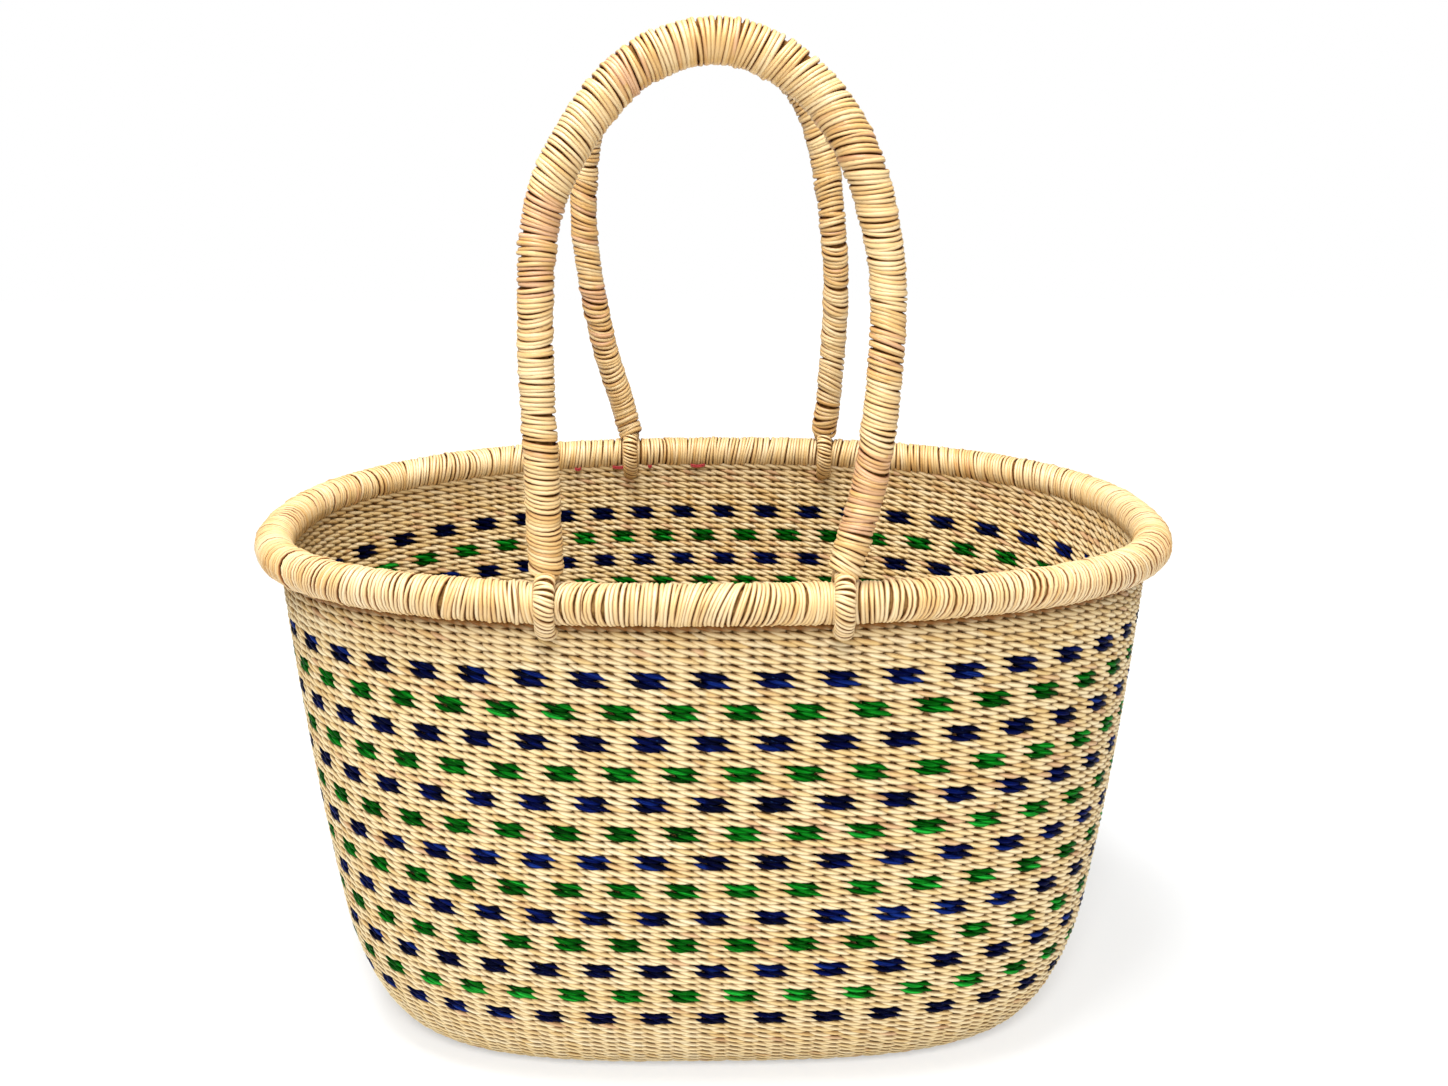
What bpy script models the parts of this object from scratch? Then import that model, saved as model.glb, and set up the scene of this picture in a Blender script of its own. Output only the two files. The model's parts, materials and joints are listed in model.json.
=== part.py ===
# A bolga basket: an oval bowl twined from straw, a straw-bound rim roll and two hinged handles.
# Lengths are in metres. +X runs along the basket, +Z is up, and the basket stands on z = 0.
import math

import bmesh
import bpy
import numpy as np
from mathutils import Matrix, Vector

# Rim roll: a bundle of straw inside a straw binding
rim_half_length = 0.2263
rim_half_width = 0.1425
rim_height = 0.263
rim_saddle = 0.0023
rim_roll_radius = 0.0095
rim_binding_thickness = 0.002
rim_plan_power = 2.33

# Wall of the bowl, measured on its outer face
wall_setback = 0.001
corner_height = 0.074
corner_reach = 0.0253
base_plan_power = 3.2
end_taper_share = 0.129
side_taper_share = 0.07
end_bulge = 0.003
side_bulge = 0.005
weft_thickness = 0.0022
stake_thickness = 0.002
stake_width_share = 0.62

# Weft courses, counted in rows down the wall
row_pitch = 0.00384
first_band_drop = 0.0365
band_rows = 2
plain_foot = 0.04

# Low welts that the rounds of weft raise on the inner face and under the bottom
welt_rows = 4
welt_relief = 0.001
base_welts = 3

# Handles: each leans inwards about the rim, and its arch is given in shares of its spread and rise
front_spread = 0.147
front_rise = 0.2317
front_middle = -0.0027
back_spread = 0.1493
back_rise = 0.2435
back_middle = -0.0004
handle_lean_degrees = 5.0
leg_radius = 0.0077
arch_radius = 0.0095
swell_start_share = 0.5
handle_binding_thickness = 0.0022

# Loops that turn round the rim and hold the feet of the handles
loop_thickness = 0.0064
loop_width = 0.010
foot_height = 0.0119
notch_flare_share = 0.08

# Clearance between neighbouring pieces, and how far a cutter runs past what it cuts
clearance = 0.0003
overrun = 0.03

# Steps round the oval, down the wall, round a roll and along a handle
panels = 36
wall_steps = 4
corner_steps = 4
roll_sides = 10
handle_steps = 24
loop_steps = 18
loop_sides = 8
tube_resolution = 2
fine_steps = 40
sharp_angle_degrees = 40

# Centre lines of the arches from left foot to right foot: (across, up)
front_arch_shares = (
    (-0.488, 0.047), (-0.494, 0.256), (-0.500, 0.490), (-0.475, 0.697), (-0.376, 0.838),
    (-0.206, 0.957), (0.018, 1.0), (0.229, 0.951), (0.386, 0.838), (0.474, 0.684),
    (0.500, 0.521), (0.467, 0.265), (0.386, 0.047),
)
back_arch_shares = (
    (-0.336, 0.045), (-0.369, 0.136), (-0.433, 0.279), (-0.486, 0.472), (-0.500, 0.616),
    (-0.476, 0.788), (-0.399, 0.899), (-0.218, 0.977), (0.003, 1.0), (0.204, 0.967),
    (0.338, 0.899), (0.411, 0.809), (0.458, 0.678), (0.500, 0.452), (0.490, 0.197),
    (0.468, 0.045),
)

# Layers of the wall and pieces of the roll, from the sizes above
rim_core_radius = rim_roll_radius - rim_binding_thickness - clearance
stake_depth = weft_thickness + clearance
inner_depth = stake_depth + stake_thickness + clearance
wall_thickness = inner_depth + weft_thickness
loop_outer_radius = rim_roll_radius + 2 * clearance + loop_thickness
loop_middle_radius = loop_outer_radius - loop_thickness / 2
slot_top = loop_outer_radius + clearance
slot_half_width = loop_width / 2 + clearance


def clear_scene():
    for item in list(bpy.data.objects):
        bpy.data.objects.remove(item, do_unlink=True)


def new_collection(name):
    group = bpy.data.collections.new(name)
    bpy.context.scene.collection.children.link(group)
    return group


def straw_material(name, colour, roughness):
    material = bpy.data.materials.new(name)
    material.use_nodes = True
    shader = material.node_tree.nodes["Principled BSDF"]
    shader.inputs["Base Color"].default_value = (*colour, 1.0)
    shader.inputs["Roughness"].default_value = roughness
    shader.inputs["Metallic"].default_value = 0.0
    return material


def signed_power(value, power):
    return math.copysign(abs(value) ** power, value)


def oval_point(angle, half_length, half_width, power):
    """A point of a superellipse."""
    x = half_length * signed_power(math.cos(angle), 2 / power)
    y = half_width * signed_power(math.sin(angle), 2 / power)
    return x, y


def oval_normal(x, y, half_length, half_width, power):
    """The outward direction of that superellipse in plan."""
    across = signed_power(x / half_length, power - 1) / half_length
    along = signed_power(y / half_width, power - 1) / half_width
    size = math.hypot(across, along)
    return across / size, along / size


def equal_angles(count):
    """Angles that space points evenly round the rim, with a panel centred on the front."""
    fine = np.linspace(-math.pi / 2, 1.5 * math.pi, fine_steps * count + 1)
    line = np.array([oval_point(a, rim_half_length, rim_half_width, rim_plan_power) for a in fine])
    run = np.concatenate([[0.0], np.cumsum(np.hypot(*np.diff(line, axis=0).T))])
    places = (np.arange(count) + 0.5) / count * run[-1]
    return [float(a) for a in np.interp(places, run, fine)]


def saddle_lift(angle, height):
    """The rim rises a little over the long sides and dips at the ends."""
    return -rim_saddle * math.cos(2 * angle) * height / rim_height


def corner_table():
    """Length down the rounded lower corner against its turning angle."""
    turns = np.linspace(0.0, math.pi / 2, fine_steps)
    reach = corner_reach * (1 - np.cos(turns))
    fall = corner_height * np.sin(turns)
    run = np.concatenate([[0.0], np.cumsum(np.hypot(np.diff(reach), np.diff(fall)))])
    return turns, run


ANGLES = equal_angles(panels)
CORNER_TURNS, CORNER_RUN = corner_table()
WALL_SLOPE = math.hypot(1.0, side_taper_share)
STRAIGHT_DROP = (rim_height - corner_height) * WALL_SLOPE
WALL_DROP = STRAIGHT_DROP + float(CORNER_RUN[-1])
SMALL_DROP = WALL_DROP / fine_steps ** 2


def meridian(drop):
    """Height and inward reach of the wall at a length measured down from the rim's centre."""
    if drop <= STRAIGHT_DROP:
        return rim_height - drop / WALL_SLOPE, 0.0
    turn = float(np.interp(drop - STRAIGHT_DROP, CORNER_RUN, CORNER_TURNS))
    return corner_height * (1 - math.sin(turn)), corner_reach * (1 - math.cos(turn))


def wall_plan(drop):
    """Half length, half width, superellipse power and height of the wall at a drop."""
    height, reach = meridian(drop)
    fall = rim_height - height
    swell = math.sin(math.pi * fall / rim_height)
    half_length = rim_half_length - wall_setback - end_taper_share * fall - reach + end_bulge * swell
    half_width = rim_half_width - wall_setback - side_taper_share * fall - reach + side_bulge * swell
    power = rim_plan_power + (base_plan_power - rim_plan_power) * fall / rim_height
    return half_length, half_width, power, height


def wall_face(angle, drop):
    half_length, half_width, power, height = wall_plan(drop)
    x, y = oval_point(angle, half_length, half_width, power)
    return Vector((x, y, height + saddle_lift(angle, height)))


def wall_point(angle, drop, depth):
    """A point of the wall, a depth inside its outer face."""
    half_length, half_width, power, _ = wall_plan(drop)
    face = wall_face(angle, drop)
    across, along = oval_normal(face.x, face.y, half_length, half_width, power)
    round_wall = Vector((-along, across, 0.0))
    if drop + SMALL_DROP <= WALL_DROP:
        down = wall_face(angle, drop + SMALL_DROP) - face
    else:
        down = Vector((-across, -along, 0.0))
    return face - down.cross(round_wall).normalized() * depth


def rim_frame(angle):
    """Centre of the rim roll and its outward direction."""
    x, y = oval_point(angle, rim_half_length, rim_half_width, rim_plan_power)
    across, along = oval_normal(x, y, rim_half_length, rim_half_width, rim_plan_power)
    centre = Vector((x, y, rim_height + saddle_lift(angle, rim_height)))
    return centre, Vector((across, along, 0.0))


def under_roll(radius, depth):
    """How far a roll reaches below the rim's centre at a depth of the wall, plus the clearance."""
    return math.sqrt(radius ** 2 - (wall_setback + depth) ** 2) + clearance


def corner_drops():
    """Drops from the start of the lower corner to the foot of the wall."""
    turns = np.linspace(0.0, math.pi / 2, corner_steps + 1)
    return [STRAIGHT_DROP + float(d) for d in np.interp(turns, CORNER_TURNS, CORNER_RUN)]


def wall_drops(first):
    """Drops from a first one to the foot of the wall, closer together in the corner."""
    straight = np.linspace(first, STRAIGHT_DROP, wall_steps + 1)[:-1]
    return [float(d) for d in straight] + corner_drops()


def finish_mesh(name, points, faces, material, group):
    """Makes an object from points and faces, with its faces turned outwards."""
    mesh = bpy.data.meshes.new(name)
    mesh.from_pydata([tuple(p) for p in points], [], faces)
    body = bmesh.new()
    body.from_mesh(mesh)
    bmesh.ops.recalc_face_normals(body, faces=body.faces)
    body.to_mesh(mesh)
    body.free()
    mesh.materials.append(material)
    mesh.shade_smooth()
    mesh.set_sharp_from_angle(angle=math.radians(sharp_angle_degrees))
    item = bpy.data.objects.new(name, mesh)
    group.objects.link(item)
    return item


def ring_faces(count, section):
    """Quads of a closed ring with a closed section."""
    faces = []
    for k in range(count):
        after = (k + 1) % count
        for j in range(section):
            beside = (j + 1) % section
            faces.append((k * section + j, after * section + j,
                          after * section + beside, k * section + beside))
    return faces


def layer_section(drops, outer, inner):
    """Places of a layer's section, down its outer side and up its inner side."""
    return [(drop, outer) for drop in drops] + [(drop, inner) for drop in reversed(drops)]


def course_edges():
    """Drops between the courses, from under the rim to the foot of the wall."""
    half_band = band_rows * row_pitch / 2
    edges = [rim_roll_radius + clearance]
    middle = first_band_drop
    while middle + half_band + plain_foot < WALL_DROP:
        edges += [middle - half_band, middle + half_band]
        middle += 4 * half_band
    return edges + [WALL_DROP]


def build_courses(group, straws):
    """The outer face of the weft: plain courses between bands with navy and green blocks."""
    made = {dye: 0 for dye in straws}
    edges = course_edges()
    for number, (start, end) in enumerate(zip(edges, edges[1:])):
        dye = ("natural", "navy", "natural", "green")[number % 4]
        made[dye] += 1
        first, last = start + clearance / 2, end - clearance / 2
        drops = [first] + [d for d in corner_drops() if first < d < last] + [last]
        section = layer_section(drops, 0.0, weft_thickness)
        points = [wall_point(angle, drop, depth) for angle in ANGLES for drop, depth in section]
        label = f"{dye}_course_{made[dye]:02d}" if end < WALL_DROP else "foot_course"
        finish_mesh(label, points, ring_faces(panels, len(section)), straws[dye], group)


def welt_levels(first):
    """Drops and depths down the inner face of the weave, crests and grooves in turn."""
    steps = 2 * round((STRAIGHT_DROP - first) / (welt_rows * row_pitch))
    straight = np.linspace(first, STRAIGHT_DROP, steps + 1)[:-1]
    drops = [float(d) for d in straight] + corner_drops()
    return [(drop, wall_thickness - welt_relief * (k % 2)) for k, drop in enumerate(drops)]


def build_inner_weave(group, material):
    """The inner face of the weft, one bowl with a closed bottom."""
    first = under_roll(rim_roll_radius, inner_depth)
    drops = wall_drops(first)
    section = [(drop, inner_depth) for drop in drops] + welt_levels(first)[::-1]
    points = [wall_point(angle, drop, depth) for angle in ANGLES for drop, depth in section]
    size = len(section)
    foot = len(drops) - 1
    faces = [f for f in ring_faces(panels, size) if {f[0] % size, f[3] % size} != {foot, foot + 1}]
    faces.append(tuple(k * size + foot for k in range(panels)))
    faces.append(tuple(k * size + foot + 1 for k in range(panels)))
    return finish_mesh("inner_weave", points, faces, material, group)


def stake_points(here, beyond, drops):
    """Corners of one upright stake from the bottom to the rim, four at each drop."""
    start_share = (1 - stake_width_share) / 2
    outer, inner = stake_depth, stake_depth + stake_thickness
    points = []
    for drop in drops:
        for share, depth in ((start_share, outer), (1 - start_share, outer),
                             (1 - start_share, inner), (start_share, inner)):
            points.append(wall_point(here, drop, depth).lerp(wall_point(beyond, drop, depth), share))
    return points


def build_stakes(group, material):
    """The stakes: their crossed bottom layer, and their ends that stand up inside the weft."""
    drops = wall_drops(under_roll(rim_core_radius, stake_depth))[::-1]
    points, faces, low, high = [], [], [], []
    for k in range(panels):
        here, beyond = ANGLES[k], ANGLES[(k + 1) % panels]
        first = len(points)
        points += stake_points(here, beyond, drops)
        for row in range(len(drops) - 1):
            base = first + 4 * row
            for j in range(4):
                beside = (j + 1) % 4
                faces.append((base + j, base + beside, base + 4 + beside, base + 4 + j))
        top = first + 4 * (len(drops) - 1)
        faces.append(tuple(range(top, top + 4)))
        corner = len(points)
        points += [wall_point(here, WALL_DROP, d) for d in (stake_depth, stake_depth + stake_thickness)]
        low += [corner, first, first + 1]
        high += [corner + 1, first + 3, first + 2]
    faces += [tuple(low), tuple(high)]
    for i in range(len(low)):
        after = (i + 1) % len(low)
        if i % 3 != 1:
            faces.append((low[i], low[after], high[after], high[i]))
    return finish_mesh("stakes", points, faces, material, group)


def link_curve(name, curve, material, group):
    curve.materials.append(material)
    item = bpy.data.objects.new(name, curve)
    group.objects.link(item)
    return item


def build_base(group, material):
    """The outer face of the woven bottom, an oval plate inside the last course."""
    half_length, half_width, power, _ = wall_plan(WALL_DROP)
    half_length -= clearance
    half_width -= clearance
    welt_step = half_width / (2 * base_welts)
    levels = [(0.0, weft_thickness)]
    levels += [(k * welt_step, welt_relief * (k % 2)) for k in range(2 * base_welts - 1)]
    points = []
    for inset, height in levels:
        ring = [oval_point(angle, half_length - inset, half_width - inset, power) for angle in ANGLES]
        points += [(x, y, height) for x, y in ring]
    inmost = (len(levels) - 1) * panels
    faces = [tuple(range(panels)), tuple(range(inmost, inmost + panels))]
    for start in range(0, inmost, panels):
        for k in range(panels):
            after = (k + 1) % panels
            faces.append((start + k, start + after, start + panels + after, start + panels + k))
    return finish_mesh("base_weave", points, faces, material, group)


def binding_section():
    """Turning angle and radius round the rim binding, which is open where the stakes enter."""
    bulge_drift = side_bulge * math.sin(math.pi * rim_roll_radius / rim_height)
    taper_drift = end_taper_share * rim_roll_radius
    start = wall_setback + stake_depth - clearance - bulge_drift
    end = wall_setback + stake_depth + stake_thickness + clearance + taper_drift
    bore = rim_core_radius + clearance
    section = []
    for radius, inside in ((rim_roll_radius, False), (bore, True)):
        low, high = math.asin(start / radius), math.asin(end / radius)
        sweep = 2 * math.pi - (high - low)
        turns = [high + sweep * i / roll_sides for i in range(roll_sides + 1)]
        if inside:
            radius /= math.cos(sweep / roll_sides / 2)
            turns.reverse()
        section += [(turn, radius) for turn in turns]
    return section


def build_rim_binding(group, material):
    """The straw binding of the rim roll."""
    section = binding_section()
    points = []
    for angle in ANGLES:
        centre, outward = rim_frame(angle)
        for turn, radius in section:
            down = Vector((0, 0, -radius * math.cos(turn)))
            points.append(centre - outward * radius * math.sin(turn) + down)
    return finish_mesh("rim_binding", points, ring_faces(panels, len(section)), material, group)


def tube_curve(name, path, radii, closed=False, capped=False):
    """A tube along a path, with its own radius at each point."""
    curve = bpy.data.curves.new(name, "CURVE")
    curve.dimensions = "3D"
    curve.bevel_depth = radii[0]
    curve.bevel_resolution = tube_resolution
    curve.use_fill_caps = capped
    spline = curve.splines.new("POLY")
    spline.points.add(len(path) - 1)
    for point, place, radius in zip(spline.points, path, radii):
        point.co = (*place, 1.0)
        point.radius = radius / radii[0]
    spline.use_cyclic_u = closed
    return curve


def curve_to_mesh(name, curve, material, group):
    """Turns a bevelled curve into a welded mesh object that modifiers can cut."""
    draft = bpy.data.objects.new(name + "_draft", curve)
    bpy.context.scene.collection.objects.link(draft)
    bpy.context.view_layer.update()
    depsgraph = bpy.context.evaluated_depsgraph_get()
    mesh = bpy.data.meshes.new_from_object(draft.evaluated_get(depsgraph))
    bpy.data.objects.remove(draft, do_unlink=True)
    body = bmesh.new()
    body.from_mesh(mesh)
    bmesh.ops.remove_doubles(body, verts=body.verts, dist=clearance / 10)
    bmesh.ops.recalc_face_normals(body, faces=body.faces)
    body.to_mesh(mesh)
    body.free()
    mesh.name = name
    mesh.materials.clear()
    mesh.materials.append(material)
    mesh.shade_smooth()
    item = bpy.data.objects.new(name, mesh)
    group.objects.link(item)
    return item


def build_rim_core(group, material):
    """The bundle of straw that the rim binding holds together."""
    path = [rim_frame(angle)[0] for angle in ANGLES]
    curve = tube_curve("rim_core", path, [rim_core_radius] * panels, closed=True)
    return link_curve("rim_core", curve, material, group)


def spline_point(a, b, c, d, t):
    """A point between b and c on the Catmull-Rom curve through four points."""
    cubic = (3 * b - a - 3 * c + d) * t ** 3
    return (2 * b + (c - a) * t + (2 * a - 5 * b + 4 * c - d) * t * t + cubic) / 2


def smooth_path(corners, steps):
    """Evenly spaced points on a smooth line through the corners."""
    ends = [corners[0] * 2 - corners[1]] + corners + [corners[-1] * 2 - corners[-2]]
    fine = []
    for a, b, c, d in zip(ends, ends[1:], ends[2:], ends[3:]):
        fine += [spline_point(a, b, c, d, i / fine_steps) for i in range(fine_steps)]
    fine.append(corners[-1].copy())
    run = [0.0]
    for p, q in zip(fine, fine[1:]):
        run.append(run[-1] + (q - p).length)
    table = np.array([tuple(p) for p in fine])
    places = np.linspace(0.0, run[-1], steps + 1)
    columns = [np.interp(places, run, table[:, axis]) for axis in range(3)]
    return [Vector(p) for p in zip(*columns)]


def raised(end, beyond, height):
    """The point at a height on the line from a path's end to its next point."""
    return end.lerp(beyond, (height - end.z) / (beyond.z - end.z))


def rim_place(x, side):
    """Where the rim roll passes a given x on its front (-1) or back (+1) side."""
    centres = [rim_frame(angle)[0] for angle in ANGLES]
    line = sorted((c for c in centres if c.y * side > 0), key=lambda c: c.x)
    xs = [c.x for c in line]
    y = float(np.interp(x, xs, [c.y for c in line]))
    z = float(np.interp(x, xs, [c.z for c in line]))
    return Vector((x, y, z))


def hinge_frame(left, right, side):
    """A frame on the line through both feet of a handle, leaning inwards."""
    along = (right - left).normalized()
    upright = Vector((0, 0, 1))
    upright = (upright - along * upright.dot(along)).normalized()
    lean = Matrix.Rotation(side * math.radians(handle_lean_degrees), 3, along)
    up = lean @ upright
    frame = Matrix((along, up.cross(along), up)).transposed().to_4x4()
    frame.translation = (left + right) / 2
    return frame


def handle_radius(up_share):
    """Outer radius of a handle, fuller towards the top of its arch."""
    rise = min(max((up_share - swell_start_share) / (1 - swell_start_share), 0.0), 1.0)
    blend = rise * rise * (3 - 2 * rise)
    return leg_radius + (arch_radius - leg_radius) * blend


def move_to(item, group):
    for holder in list(item.users_collection):
        holder.objects.unlink(item)
    group.objects.link(item)


def box_cutter(name, low, high, frame, group, flare=0.0):
    """A box between two corners of a frame, widened at its top by the flare, used only to cut."""
    bpy.ops.mesh.primitive_cube_add(size=1)
    item = bpy.context.active_object
    item.name = name
    size = [b - a for a, b in zip(low, high)]
    middle = [(a + b) / 2 for a, b in zip(low, high)]
    item.data.transform(Matrix.Translation(middle) @ Matrix.Diagonal((*size, 1.0)))
    for corner in item.data.vertices:
        if corner.co.z > middle[2]:
            corner.co.x += math.copysign(flare, corner.co.x - middle[0])
    item.matrix_world = frame
    move_to(item, group)
    item.hide_render = True
    item.display_type = "WIRE"
    return item


def cut(item, cutter):
    modifier = item.modifiers.new("cut", "BOOLEAN")
    modifier.operation = "DIFFERENCE"
    modifier.solver = "EXACT"
    modifier.object = cutter


def build_loop(name, foot_x, hinge, material, group):
    """A bound loop that holds a handle's foot and turns round the rim."""
    bpy.ops.mesh.primitive_torus_add(major_segments=loop_steps, minor_segments=loop_sides,
                                     major_radius=loop_middle_radius, minor_radius=loop_thickness / 2)
    item = bpy.context.active_object
    item.name = name
    widen = Matrix.Diagonal((loop_width / loop_thickness, 1.0, 1.0, 1.0))
    item.data.transform(widen @ Matrix.Rotation(math.pi / 2, 4, "Y"))
    item.data.materials.append(material)
    item.data.shade_smooth()
    move_to(item, group)
    item.parent = hinge
    item.location = (foot_x, 0, 0)
    return item


def arch_path(shares, spread, rise, shift):
    """Centre line of a handle in its own frame, from foot to foot."""
    corners = [Vector((across * spread + shift, 0, up * rise)) for across, up in shares]
    corners[0].z = foot_height
    corners[-1].z = foot_height
    return smooth_path(corners, handle_steps)


def build_handle(side_name, side, sizes, shares, materials, parts, cutters):
    """A handle: its straw core, its binding and the two loops that hinge it. Returns its feet."""
    spread, rise, middle = sizes
    feet = [rim_place(middle + shares[end][0] * spread, side) for end in (0, -1)]
    frame = hinge_frame(*feet, side)
    hinge = bpy.data.objects.new(f"{side_name}_handle_hinge", None)
    hinge.matrix_world = frame
    parts.objects.link(hinge)
    path = arch_path(shares, spread, rise, middle - frame.translation.x)
    outer = [handle_radius(p.z / rise) for p in path]
    wrap = curve_to_mesh(f"{side_name}_handle_binding", tube_curve("binding", path, outer),
                         materials["binding"], parts)
    shell = wrap.modifiers.new("thickness", "SOLIDIFY")
    shell.thickness = handle_binding_thickness
    shell.offset = -1.0
    inside = [raised(path[0], path[1], slot_top), *path[1:-1], raised(path[-1], path[-2], slot_top)]
    inner = [handle_radius(p.z / rise) - handle_binding_thickness - 2 * clearance for p in inside]
    core = link_curve(f"{side_name}_handle_core", tube_curve("core", inside, inner, capped=True),
                      materials["core"], parts)
    wrap.parent = hinge
    core.parent = hinge
    for label, foot in zip(("left", "right"), feet):
        foot_x = (foot - frame.translation).dot(frame.col[0].to_3d())
        build_loop(f"{side_name}_{label}_loop", foot_x, hinge, materials["loop"], parts)
        low = (foot_x - slot_half_width, -overrun, -overrun)
        high = (foot_x + slot_half_width, overrun, slot_top)
        cut(wrap, box_cutter(f"cut_{side_name}_{label}_leg", low, high, frame, cutters))
    return feet


def notch_wall(feet, pieces, cutters):
    """Opens the top of the wall under the rim where each loop passes, wider towards the rim."""
    half = slot_half_width + clearance
    flare = notch_flare_share * (slot_top + overrun)
    for number, foot in enumerate(feet):
        low = (-half, -overrun, -slot_top)
        high = (half, overrun, overrun)
        place = Matrix.Translation(foot)
        cutter = box_cutter(f"cut_notch_{number}", low, high, place, cutters, flare)
        for piece in pieces:
            cut(piece, cutter)


def main():
    clear_scene()
    parts = new_collection("bolga_basket")
    cutters = new_collection("cutters")
    natural = straw_material("natural_straw", (0.62, 0.43, 0.20), 0.6)
    navy = straw_material("navy_straw", (0.010, 0.018, 0.13), 0.5)
    green = straw_material("green_straw", (0.0, 0.18, 0.02), 0.5)
    binding = straw_material("binding_straw", (0.74, 0.55, 0.28), 0.5)
    core = straw_material("core_straw", (0.45, 0.31, 0.14), 0.8)
    build_base(parts, natural)
    stakes = build_stakes(parts, core)
    inner_weave = build_inner_weave(parts, natural)
    build_courses(parts, {"natural": natural, "navy": navy, "green": green})
    build_rim_core(parts, core)
    build_rim_binding(parts, binding)
    straws = {"binding": binding, "core": core, "loop": binding}
    front = (front_spread, front_rise, front_middle)
    back = (back_spread, back_rise, back_middle)
    feet = build_handle("front", -1, front, front_arch_shares, straws, parts, cutters)
    feet += build_handle("back", 1, back, back_arch_shares, straws, parts, cutters)
    top_course = bpy.data.objects["natural_course_01"]
    notch_wall(feet, [top_course, stakes, inner_weave], cutters)


main()
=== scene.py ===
# Looks of a bolga basket, in which every row of weft and every turn of binding is a real strand.
# Lengths are in metres. +X runs along the basket, +Z is up, and the origin is under its bottom.
import json
import math

import bpy
import numpy as np
from mathutils import Matrix, Vector


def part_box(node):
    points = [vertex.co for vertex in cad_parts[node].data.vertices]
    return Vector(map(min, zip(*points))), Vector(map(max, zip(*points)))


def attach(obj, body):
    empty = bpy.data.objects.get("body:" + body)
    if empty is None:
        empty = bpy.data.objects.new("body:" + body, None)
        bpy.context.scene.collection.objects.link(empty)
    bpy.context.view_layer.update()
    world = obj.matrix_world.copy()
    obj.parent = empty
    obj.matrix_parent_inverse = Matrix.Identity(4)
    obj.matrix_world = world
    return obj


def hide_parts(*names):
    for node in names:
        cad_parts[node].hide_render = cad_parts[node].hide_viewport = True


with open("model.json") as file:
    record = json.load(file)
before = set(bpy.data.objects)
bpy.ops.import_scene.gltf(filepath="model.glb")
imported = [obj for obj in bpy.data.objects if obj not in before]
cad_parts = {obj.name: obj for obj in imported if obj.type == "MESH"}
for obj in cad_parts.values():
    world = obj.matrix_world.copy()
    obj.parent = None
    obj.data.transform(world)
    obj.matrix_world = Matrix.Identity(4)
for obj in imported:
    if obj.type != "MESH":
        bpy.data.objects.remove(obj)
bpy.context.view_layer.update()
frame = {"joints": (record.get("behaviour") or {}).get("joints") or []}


# The studio: a white table that runs off into white, a wide soft lamp overhead, a fill lamp in
# front, and the camera at the photograph's place, a little above the rim.
scene = bpy.context.scene
scene.view_settings.view_transform = "Standard"

camera_dip = 0.299
camera_turn = -0.0185
camera = bpy.data.objects.new("camera", bpy.data.cameras.new("camera"))
camera.location = (-0.00808, -0.70297, 0.46598)
camera.rotation_euler = (math.pi / 2 - camera_dip, 0, camera_turn)
camera.data.sensor_width = 36
camera.data.lens = 34.24
scene.collection.objects.link(camera)
scene.camera = camera

lamp_aim = Vector((0, 0, 0.2))


def soft_lamp(name, place, size, watts):
    light = bpy.data.lights.new(name, "AREA")
    light.size = size
    light.energy = watts
    lamp = bpy.data.objects.new(name, light)
    lamp.location = place
    lamp.rotation_euler = (lamp_aim - Vector(place)).to_track_quat("-Z", "Y").to_euler()
    scene.collection.objects.link(lamp)


soft_lamp("overhead_lamp", place=(-0.20, -0.25, 1.60), size=0.6, watts=27)
soft_lamp("front_lamp", place=(-0.05, -1.40, 1.60), size=0.5, watts=26)


class Wire:
    """A socket in a node tree, so that shader maths reads as plain sums."""

    def __init__(self, tree, socket=None):
        self.tree = tree
        self.socket = socket

    def node(self, kind, inputs=None, output=0, stops=None, **settings):
        """Adds a node: its settings and ramp stops first, then its inputs, by name or number."""
        made = self.tree.nodes.new(kind)
        for key, value in settings.items():
            setattr(made, key, value)
        if stops:
            ramp = made.color_ramp.elements
            while len(ramp) < len(stops):
                ramp.new(1.0)
            for element, (place, colour) in zip(ramp, stops):
                element.position = place
                element.color = (*colour, 1.0)
        for key, value in (inputs or {}).items():
            if isinstance(value, Wire):
                self.tree.links.new(value.socket, made.inputs[key])
            else:
                made.inputs[key].default_value = value
        return Wire(self.tree, made.outputs[output] if made.outputs else None)

    def maths(self, operation, a, b):
        return self.node("ShaderNodeMath", {0: a, 1: b}, operation=operation)

    def __add__(self, other):
        return self.maths("ADD", self, other)

    __radd__ = __add__

    def __sub__(self, other):
        return self.maths("SUBTRACT", self, other)

    def __rsub__(self, other):
        return self.maths("SUBTRACT", other, self)

    def __mul__(self, other):
        return self.maths("MULTIPLY", self, other)

    __rmul__ = __mul__

    def stretched(self, scale):
        """A vector times a scale in each direction."""
        return self.node("ShaderNodeVectorMath", {0: self, 1: scale}, operation="MULTIPLY")

    def noise(self, detail):
        return self.node("ShaderNodeTexNoise", {"Vector": self, "Scale": 1.0, "Detail": detail})

    def spread(self, low, high):
        """Maps a value's range onto nought to one, clamped."""
        return self.node("ShaderNodeMapRange", {"Value": self, 1: low, 2: high}, clamp=True)

    def mixed(self, colour, factor, blend="MIX"):
        inputs = {0: factor, 6: self, 7: colour}
        return self.node("ShaderNodeMix", inputs, 2, data_type="RGBA", blend_type=blend)


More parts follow.
